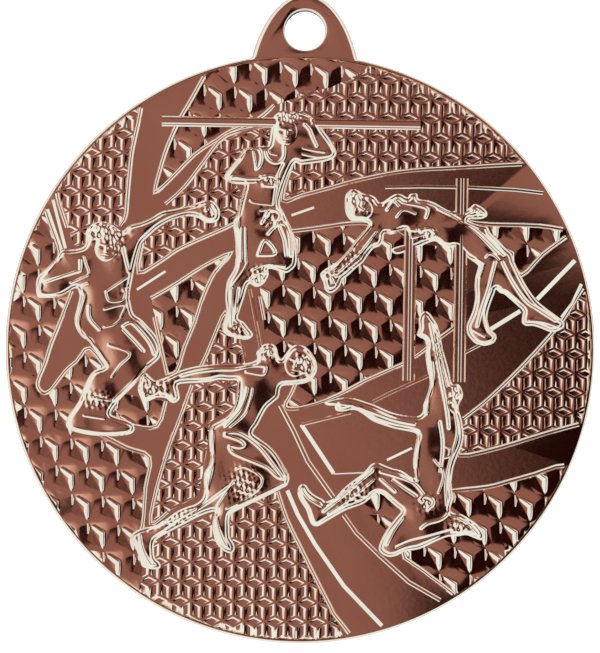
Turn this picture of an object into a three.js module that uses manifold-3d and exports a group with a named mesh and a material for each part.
// A 50 mm sports finisher medal: one struck blank with an integral hanging tab, a front relief of
// five athletes over faceted fields and track lanes, and a blank event plate bonded into the reverse.
//
// Millimetres, +Z up, front towards -Y. The origin is the middle of the hanging hole.

import * as THREE from 'three';
import { mergeVertices } from 'three/addons/utils/BufferGeometryUtils.js';
import Module from 'manifold-3d';

const wasm = await Module();
wasm.setup();

// ---------------------------------------------------------------- driving dimensions, mm

const DISC_DIAMETER = 50;
const MEDAL_THICKNESS = 2.0;
const RIM_BEVEL = 0.35;
const RIM_SEGMENTS = 96;

const HOLE_DIAMETER = 3.4;
const HOLE_CHAMFER = 0.15;
const HOLE_ABOVE_RIM = 2.0;
const HOLE_SEGMENTS = 48;

const TAB_WIDTH = 9.9;
const TAB_LENGTH = 18.4;
const TAB_WALL = 1.4;
const TAB_BEVEL = 0.3;
const TAB_SEGMENTS = 64;

const FIELD_DEPTH = 0.35;
const RIM_LAND = 0.45;
const FIGURE_RISE = 0.3;
const APPARATUS_RISE = 0.15;

const JAVELIN_DIAMETER = 0.85;
const POST_WIDTH = 1.05;

const PLATE_DIAMETER = 25;
const PLATE_THICKNESS = 0.5;
const PLATE_CLEARANCE = 0.3;
const PLATE_SET_BACK = 0.05;
const PLATE_BEVEL = 0.1;
const ADHESIVE_THICKNESS = 0.15;
const ADHESIVE_INSET = 0.5;
const PLATE_SEGMENTS = 72;

// The relief is drawn for a disc of this diameter and grows with the disc.
const ARTWORK_DIAMETER = 50;

// ---------------------------------------------------------------- derived places

const DISC_RADIUS = DISC_DIAMETER / 2;
const HOLE_RADIUS = HOLE_DIAMETER / 2;
const ARTWORK_SCALE = DISC_DIAMETER / ARTWORK_DIAMETER;
const DISC_CENTRE_Z = -(DISC_RADIUS + HOLE_ABOVE_RIM);
const TAB_CENTRE_Z = HOLE_RADIUS + TAB_WALL - TAB_LENGTH / 2;

const FRONT = -MEDAL_THICKNESS / 2;
const BACK = MEDAL_THICKNESS / 2;
const FIELD_FLOOR = FRONT + FIELD_DEPTH;
const RECESS_DEPTH = ADHESIVE_THICKNESS + PLATE_THICKNESS + PLATE_SET_BACK;
const RECESS_FLOOR = BACK - RECESS_DEPTH;
const PLATE_BACK = BACK - PLATE_SET_BACK;
const PLATE_FRONT = PLATE_BACK - PLATE_THICKNESS;

// How far a cutting or joining shape runs past the face that it works on.
const OVERRUN = 1;

// ---------------------------------------------------------------- relief artwork
// Points are [right, up] from the disc's centre.

const CUBE_FIELDS = [
  // above the javelin
  [[-8.15, 23.6], [-9.6, 20.9], [-10.5, 19.3], [-11.5, 17], [-12.1, 15], [-12.5, 13.1], [-11.5, 13.9],
    [-9.2, 16.3], [-7.3, 17.6], [-6.3, 18.3], [-4, 19.3], [-2.5, 20.6], [1, 21.9], [2.3, 22.2],
    [4.5, 23.3], [5.9, 24.5], [4, 26], [-4, 26], [-8, 25]],
  // wedge between the two left lanes
  [[-12.7, 4.1], [-11, 5.1], [-8.3, 6.9], [-6, 8], [-7.3, 6.4], [-8.2, 4.5], [-9, 2], [-9.8, 0],
    [-10.4, -2], [-11.2, -2.4], [-11.9, 0.4], [-12.4, 2.5]],
  // left side, down to the lowest lane
  [[-21.9, 12.1], [-21.4, 10.5], [-20.6, 8.4], [-20.5, 7.5], [-19.4, 4.6], [-20.2, 2.4], [-21.1, 0.1],
    [-21.6, -1.6], [-22.2, -3.2], [-21.8, -4], [-21.1, -3.8], [-19.9, -2.2], [-18.9, -1.3],
    [-17.8, -0.2], [-16, -2.5], [-16.6, -4], [-18, -7], [-16.3, -7.7], [-14.5, -8.6], [-12.6, -9.4],
    [-12.9, -12], [-13.1, -15.2], [-13.8, -16.5], [-13.1, -18.7], [-13.2, -20.2], [-15, -24],
    [-24, -16], [-27, 0], [-24, 12]],
  // between the thrower's shin and the sprinter's hand
  [[-15, -4], [-13.5, -4.3], [-11.3, -4.6], [-12, -6.7], [-14, -6.7], [-16, -6]],
  // centre
  [[-3.4, 6.3], [-1.5, 8.5], [-0.9, 10], [0, 10.1], [2, 10.4], [4, 10.7], [5.7, 10.7], [8, 10.2],
    [10, 9], [13.1, 8.8], [13, 2], [11.9, 1.2], [9.5, -0.7], [7.2, -1.85], [5.5, -2.65], [3.6, -3.7],
    [1.9, -4.45], [0, -5], [-1.2, -4.9], [-0.6, -3.6], [0, -2], [-3, 0.3], [-3.1, 2.4], [-3.5, 4.4]],
  // behind the high jumper's knees
  [[14.2, 11], [16, 10.8], [20, 10.75], [22.7, 10.3], [22.2, 9.7], [20.4, 8.3], [18.6, 6.5],
    [17.6, 8.2], [15.6, 10.3]],
  // lower right
  [[13, -11.8], [16, -11.45], [17.8, -10.95], [20, -10.3], [22.8, -9.5], [26, -10.5], [16, -23],
    [13.5, -20.7], [10.6, -18.55], [9, -17.1], [12, -15], [13, -13]],
  // between the long jumper's legs
  [[5.2, -13.2], [6.4, -12], [7.2, -12.1], [9, -13.6], [7.5, -15.2]],
];

const STAR_FIELDS = [
  // upper right
  [[-2.5, 20.6], [1, 21.9], [2.3, 22.2], [4.5, 23.3], [5.9, 24.5], [15, 24], [21, 16], [17, 15.85],
    [13, 15.55], [10, 15.35], [8, 15.1], [6, 14.7], [4, 14.2], [2, 13.6], [0, 13.05], [-1.7, 12.6],
    [-1, 15.5], [0, 17], [-1, 19]],
  // upper left
  [[-13.7, 20.9], [-13.9, 19.5], [-14.2, 18], [-14.5, 16.5], [-14.65, 15], [-14.8, 13], [-14.95, 11],
    [-15.4, 10.2], [-18.2, 8.6], [-19.2, 8.4], [-19.9, 10], [-20.6, 12], [-20.9, 13.3], [-22, 16],
    [-16, 22]],
  // above and below the left thrower's arm
  [[-11.6, 12.1], [-10, 13.6], [-8.3, 15.9], [-6.5, 18], [-3, 18.9], [-2.7, 17.4], [-5, 16],
    [-6, 14.4], [-5.1, 13], [-5.6, 10.6], [-7, 9.9], [-9, 9], [-10.6, 8.2], [-12, 7.2], [-13.8, 6.3],
    [-13.5, 8.8], [-11.3, 10.6], [-9, 11.5]],
  // beside the javelin thrower's shin
  [[-8.4, -1.6], [-7.9, -0.5], [-7.3, 1], [-6.4, 3], [-5.9, 1.5], [-5.1, 0.7], [-4.9, -0.3],
    [-4.6, -1.4]],
  // behind the sprinter's back
  [[-9.1, -3.2], [-10.1, -6], [-11, -8.5], [-12, -12], [-12.45, -15], [-11, -14], [-8.4, -12.5],
    [-7.8, -9], [-7.5, -6.3], [-5.3, -4.8], [-5.3, -2.9], [-7, -2.8]],
  // below the sprinter
  [[-13.1, -18.7], [-12.2, -18.9], [-12.2, -16.3], [-7, -14], [-1.7, -12.1], [-0.9, -14.4],
    [0.4, -17], [2, -20.1], [3.2, -22.4], [4.6, -25.5], [-5, -27], [-15, -24], [-13.2, -20.2]],
  // right side
  [[13.9, -5.7], [16, -4], [19, -1], [22.1, 2.6], [24.9, 6.4], [27, 0], [25.5, -5.5], [21, -6.8],
    [17, -8.1], [13.6, -8.8], [13.9, -7]],
];

const ATHLETES = {
  javelinThrower: [[-2.9, 17.3], [-2.75, 18.6], [-2.65, 19.4], [-2.2, 19.95], [-1.3, 20.15],
    [-0.4, 19.95], [0.9, 19.5], [1.7, 18.5], [2.75, 16.95], [2.8, 16.5], [2.45, 16.1], [0.6, 15.7],
    [-0.65, 15.75], [-1.4, 14.2], [-1.9, 12.2], [-1.3, 11], [-0.65, 9.6], [-0.4, 7.6], [-0.55, 6.95],
    [-1.2, 6.42], [-2.75, 6.75], [-3, 5.7], [-3.9, 5.2], [-4.55, 5.2], [-5.15, 3.2], [-5.3, 2.5],
    [-4.4, 1.7], [-4.05, 1], [-5, 0.72], [-6.2, 1.05], [-6.6, 1.9], [-6.3, 3.2], [-6.35, 5.2],
    [-5.6, 7.3], [-5.6, 8.4], [-5.85, 10.6], [-5.15, 12.9], [-4.95, 13.75], [-6.35, 14.1],
    [-6.65, 14.5], [-5.5, 16.1], [-4.9, 16.9]],
  shotPutter: [[-15.2, 9.75], [-13.7, 10.5], [-11.9, 11.45], [-9.1, 12.15], [-8.3, 12.45],
    [-7.6, 12.4], [-6.95, 11.35], [-7.6, 10.55], [-8.2, 10.6], [-9.6, 11.1], [-11.3, 10.6],
    [-13.5, 8.8], [-14.5, 4.4], [-14.1, 2.7], [-12.2, 0.9], [-11.75, -0.5], [-12.7, -1.7],
    [-14.8, -4.1], [-15.95, -5.7], [-14, -6.6], [-14.2, -7.4], [-16.5, -7.65], [-19.5, -7.1],
    [-19.75, -6.6], [-18.6, -4.5], [-17.4, -2.1], [-16.6, -1.75], [-17.9, 0.35], [-18.95, 1.4],
    [-19.15, 2.2], [-18.75, 4.2], [-19.05, 4.85], [-20.4, 4.1], [-22.3, 4.1], [-22.45, 5.3],
    [-21.4, 6.7], [-20.3, 8.05], [-18.4, 8.45], [-18.3, 9.6], [-17.6, 10.4], [-16.4, 10.45]],
  highJumper: [[3.6, 12.8], [4.2, 13.6], [5.1, 13.25], [6.2, 12.9], [7.3, 12.9], [8.4, 13.2],
    [9.7, 13.3], [9.85, 12.85], [12, 12.1], [13.7, 11.9], [14.6, 12.5], [15.6, 11.9], [15.2, 11.25],
    [14.1, 11.1], [15.7, 10.6], [17.8, 8.3], [18.7, 6.3], [20, 4.4], [22.3, 2.6], [21.2, 1.75],
    [19.1, 2.25], [18.8, 3.5], [17.2, 4.9], [16.5, 5.3], [15.85, 3.3], [16.6, 1.1], [15.6, 0.5],
    [14.1, 1.6], [14.6, 3.6], [14.7, 5.5], [14.95, 7.3], [13.1, 8.8], [11.3, 9.3], [9.3, 8.55],
    [7.7, 8.3], [9, 9.05], [8.75, 10.2], [7, 9.85], [6.6, 8.8], [5.2, 7.4], [3.5, 5.9], [2.4, 4.75],
    [1.6, 6.3], [3.2, 7.6], [5.6, 10.6], [4.3, 10.85], [3.6, 12]],
  sprinter: [[-10.4, -2.1], [-7.8, -1.45], [-4.8, -1.3], [-3.8, -1.05], [-3.4, 0.1], [-2.4, 0.4],
    [-1.6, -0.9], [-0.8, 0.1], [0.4, 0.2], [1.4, -1.1], [1.15, -2.4], [-0.4, -3.05], [-1.4, -3.15],
    [-1.75, -4.1], [-3.1, -5.7], [-3.9, -7.15], [-2.2, -8.5], [-0.8, -10.6], [-0.95, -11.6],
    [-3.4, -12.9], [-5.5, -14], [-5.7, -16], [-5.3, -17.1], [-6.2, -17.2], [-7.1, -15.8],
    [-7, -13.9], [-8.6, -14.45], [-11.8, -16.25], [-12, -17.9], [-11.55, -18.7], [-13.1, -18.6],
    [-14.1, -16.4], [-13.6, -15.6], [-11, -14.5], [-8.7, -13.3], [-8, -11], [-7.45, -9.2],
    [-7.6, -7.3], [-6, -5.7], [-5.3, -4], [-5.35, -2.75], [-6.8, -2.7], [-10.3, -3.2],
    [-10.15, -4.4], [-12, -4.3], [-13.2, -4.7], [-13.7, -3.6], [-13.1, -2.2], [-12.2, -2.85]],
  longJumper: [[10.15, 3.1], [10.9, 3.2], [11.85, 1.4], [12.95, -2.75], [13.85, -3.8], [13.5, -4.9],
    [13.95, -7.4], [13.05, -10.4], [12.95, -13.3], [14.6, -14.2], [15.8, -15.6], [14.3, -15.55],
    [12, -16], [9.5, -16.95], [7.8, -17.5], [6.9, -16.8], [8.75, -13.6], [7.1, -12.2], [6.6, -12.15],
    [5, -13.25], [1.7, -15], [0.95, -14.3], [0, -12.4], [0.3, -11.45], [1.5, -12.4], [2.4, -12.9],
    [4.5, -11.2], [6.2, -9.65], [7.3, -9.75], [9.75, -10.8], [9.7, -9.5], [10, -7.1], [7, -6.3],
    [4.9, -5.15], [3.2, -5.2], [2.1, -4.5], [4, -4.05], [8, -5.3], [10.45, -5.2], [11, -2.5],
    [10.65, 0.5], [9.85, 1.4]],
};

const JAVELIN_SPAN = [-12, 9.9];
const JAVELIN_HEIGHT = 19.1;
const POSTS = [
  { centre: 9.25, foot: -2.5, top: 10.3 },
  { centre: 13.5, foot: -2.55, top: 14.6 },
];

// ---------------------------------------------------------------- solids

// A closed, indexed geometry as a solid that can be joined and cut.
function toSolid(geometry) {
  const bare = geometry.clone();
  bare.deleteAttribute('normal');
  bare.deleteAttribute('uv');
  const merged = mergeVertices(bare, 1e-5);
  return new wasm.Manifold(new wasm.Mesh({
    numProp: 3,
    vertProperties: new Float32Array(merged.attributes.position.array),
    triVerts: new Uint32Array(merged.index.array),
  }));
}

function toGeometry(solid) {
  const mesh = solid.getMesh();
  const geometry = new THREE.BufferGeometry();
  geometry.setAttribute('position', new THREE.BufferAttribute(mesh.vertProperties, mesh.numProp));
  geometry.setIndex(new THREE.BufferAttribute(mesh.triVerts, 1));
  geometry.computeVertexNormals();
  return geometry;
}

// A round piece about the Y axis, moved up to centreZ. Its profile is [radius, y] pairs that run from
// the axis at the front to the axis at the back.
function turned(profile, segments, centreZ) {
  const points = profile.map(([radius, y]) => new THREE.Vector2(radius, y));
  return toSolid(new THREE.LatheGeometry(points, segments).translate(0, 0, centreZ));
}

// An outline in the XZ plane, made solid from one depth to another; its bevels lie inside that depth.
function raised(shape, back, front, bevel = 0) {
  const geometry = new THREE.ExtrudeGeometry(shape, {
    depth: back - front - 2 * bevel,
    bevelEnabled: bevel > 0,
    bevelThickness: bevel,
    bevelSize: bevel,
    bevelOffset: -bevel,
    bevelSegments: 1,
    curveSegments: TAB_SEGMENTS / 2,
  });
  geometry.rotateX(Math.PI / 2);
  geometry.translate(0, back - bevel, 0);
  return toSolid(geometry);
}

// Artwork points, from the disc's centre, as an outline in the part's own frame.
function artwork(points) {
  return new THREE.Shape(points.map(([x, up]) => new THREE.Vector2(
    x * ARTWORK_SCALE,
    up * ARTWORK_SCALE + DISC_CENTRE_Z,
  )));
}

function bar(left, right, bottom, top) {
  return [[left, bottom], [right, bottom], [right, top], [left, top]];
}

// ---------------------------------------------------------------- struck body

function blank() {
  const disc = turned([
    [0, FRONT],
    [DISC_RADIUS - RIM_BEVEL, FRONT],
    [DISC_RADIUS, FRONT + RIM_BEVEL],
    [DISC_RADIUS, BACK - RIM_BEVEL],
    [DISC_RADIUS - RIM_BEVEL, BACK],
    [0, BACK],
  ], RIM_SEGMENTS, DISC_CENTRE_Z);
  const outline = new THREE.Shape();
  outline.absellipse(0, TAB_CENTRE_Z, TAB_WIDTH / 2, TAB_LENGTH / 2, 0, 2 * Math.PI);
  return disc.add(raised(outline, BACK, FRONT, TAB_BEVEL));
}

function hangingHole() {
  const mouth = HOLE_RADIUS + HOLE_CHAMFER + OVERRUN;
  return turned([
    [0, FRONT - OVERRUN],
    [mouth, FRONT - OVERRUN],
    [HOLE_RADIUS, FRONT + HOLE_CHAMFER],
    [HOLE_RADIUS, BACK - HOLE_CHAMFER],
    [mouth, BACK + OVERRUN],
    [0, BACK + OVERRUN],
  ], HOLE_SEGMENTS, 0);
}

// The part of the face that may be sunk: everything inside the narrow land at the rim.
function fieldDisc() {
  const radius = DISC_RADIUS - RIM_LAND;
  return turned([
    [0, FRONT - OVERRUN],
    [radius, FRONT - OVERRUN],
    [radius, FIELD_FLOOR],
    [0, FIELD_FLOOR],
  ], RIM_SEGMENTS, DISC_CENTRE_Z);
}

function sunkFields() {
  const fields = [...CUBE_FIELDS, ...STAR_FIELDS].map((points) => (
    raised(artwork(points), BACK, FRONT - OVERRUN)
  ));
  const together = fields.reduce((sum, field) => sum.add(field));
  return together.intersect(fieldDisc());
}

function reliefOnTop() {
  const figures = Object.values(ATHLETES).map((points) => (
    raised(artwork(points), RECESS_FLOOR - OVERRUN / 2, FRONT - FIGURE_RISE)
  ));
  const halfJavelin = JAVELIN_DIAMETER / ARTWORK_SCALE / 2;
  const apparatus = [
    bar(...JAVELIN_SPAN, JAVELIN_HEIGHT - halfJavelin, JAVELIN_HEIGHT + halfJavelin),
    ...POSTS.map(({ centre, foot, top }) => {
      const halfPost = POST_WIDTH / ARTWORK_SCALE / 2;
      return bar(centre - halfPost, centre + halfPost, foot, top);
    }),
  ].map((points) => raised(artwork(points), RECESS_FLOOR - OVERRUN / 2, FRONT - APPARATUS_RISE));
  return [...figures, ...apparatus].reduce((sum, piece) => sum.add(piece));
}

function reverseRecess() {
  const radius = PLATE_DIAMETER / 2 + PLATE_CLEARANCE;
  return turned([
    [0, RECESS_FLOOR],
    [radius, RECESS_FLOOR],
    [radius, BACK + OVERRUN],
    [0, BACK + OVERRUN],
  ], PLATE_SEGMENTS, DISC_CENTRE_Z);
}

function medalBody() {
  return toGeometry(blank()
    .subtract(sunkFields())
    .add(reliefOnTop())
    .subtract(hangingHole())
    .subtract(reverseRecess()));
}

// ---------------------------------------------------------------- reverse plate and its adhesive

function reversePlate() {
  const radius = PLATE_DIAMETER / 2;
  return toGeometry(turned([
    [0, PLATE_FRONT],
    [radius, PLATE_FRONT],
    [radius, PLATE_BACK - PLATE_BEVEL],
    [radius - PLATE_BEVEL, PLATE_BACK],
    [0, PLATE_BACK],
  ], PLATE_SEGMENTS, DISC_CENTRE_Z));
}

function adhesiveDisc() {
  const radius = PLATE_DIAMETER / 2 - ADHESIVE_INSET;
  return toGeometry(turned([
    [0, RECESS_FLOOR],
    [radius, RECESS_FLOOR],
    [radius, PLATE_FRONT],
    [0, PLATE_FRONT],
  ], PLATE_SEGMENTS, DISC_CENTRE_Z));
}

// ---------------------------------------------------------------- assembly

const antiqueCopper = new THREE.MeshStandardMaterial({ color: 0xc9805f, roughness: 0.25, metalness: 1 });
const brushedAluminium = new THREE.MeshStandardMaterial({ color: 0xc8b29c, roughness: 0.35, metalness: 1 });
const acrylicFilm = new THREE.MeshStandardMaterial({ color: 0xe9e4d8, roughness: 0.6, metalness: 0 });

function named(name, geometry, material) {
  const mesh = new THREE.Mesh(geometry, material);
  mesh.name = name;
  return mesh;
}

const medal = new THREE.Group();
medal.add(
  named('medal_body', medalBody(), antiqueCopper),
  named('adhesive_disc', adhesiveDisc(), acrylicFilm),
  named('reverse_plate', reversePlate(), brushedAluminium),
);

export default medal;
